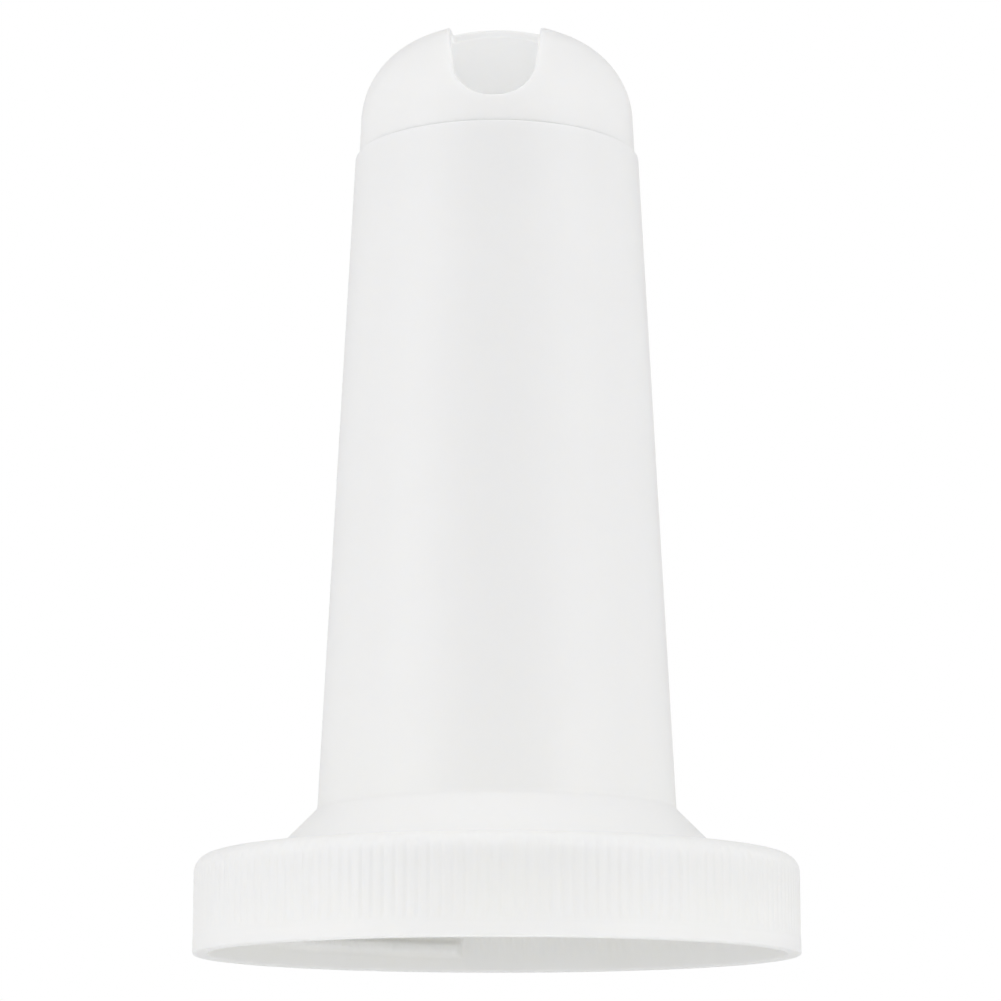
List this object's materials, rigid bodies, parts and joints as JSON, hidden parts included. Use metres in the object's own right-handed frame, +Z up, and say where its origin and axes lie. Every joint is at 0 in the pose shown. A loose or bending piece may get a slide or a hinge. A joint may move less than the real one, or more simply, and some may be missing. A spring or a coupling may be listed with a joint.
{
  "type": "liquor pour spout",
  "caption": "Tall tapered pour spout: ribbed screw collar, 45 degree foot cone, slim white neck and a domed head with a U-shaped pour notch.",
  "frame": {"origin": "on the neck's axis, in the plane of the screw collar's bottom edge", "axes": "+Z up the neck towards the pour head, -Y the side that the pour notch opens to, +X to the right seen from that side"},
  "size_m": [0.094, 0.094, 0.1497],
  "materials": {
    "collar_polypropylene": "moulded satin, slightly warm translucent white",
    "neck_polypropylene": "moulded satin, neutral translucent white",
    "head_polypropylene": "moulded satin, neutral translucent white",
    "gasket_rubber": "moulded matt, milky white"
  },
  "bodies": {
    "spout": {"spout_neck": "neck_polypropylene", "gasket": "gasket_rubber"},
    "collar": {"screw_collar": "collar_polypropylene"},
    "head": {"pour_head": "head_polypropylene"}
  },
  "joints": [
    {"name": "collar_turn", "type": "hinge", "parent": "spout", "child": "collar", "pos_m": [0, 0, 0.0076], "axis": [0, 0, 1], "continuous": true},
    {"name": "head_pull", "type": "slide", "parent": "spout", "child": "head", "axis": [0, 0, 1], "range_m": [0, 0.014]}
  ]
}
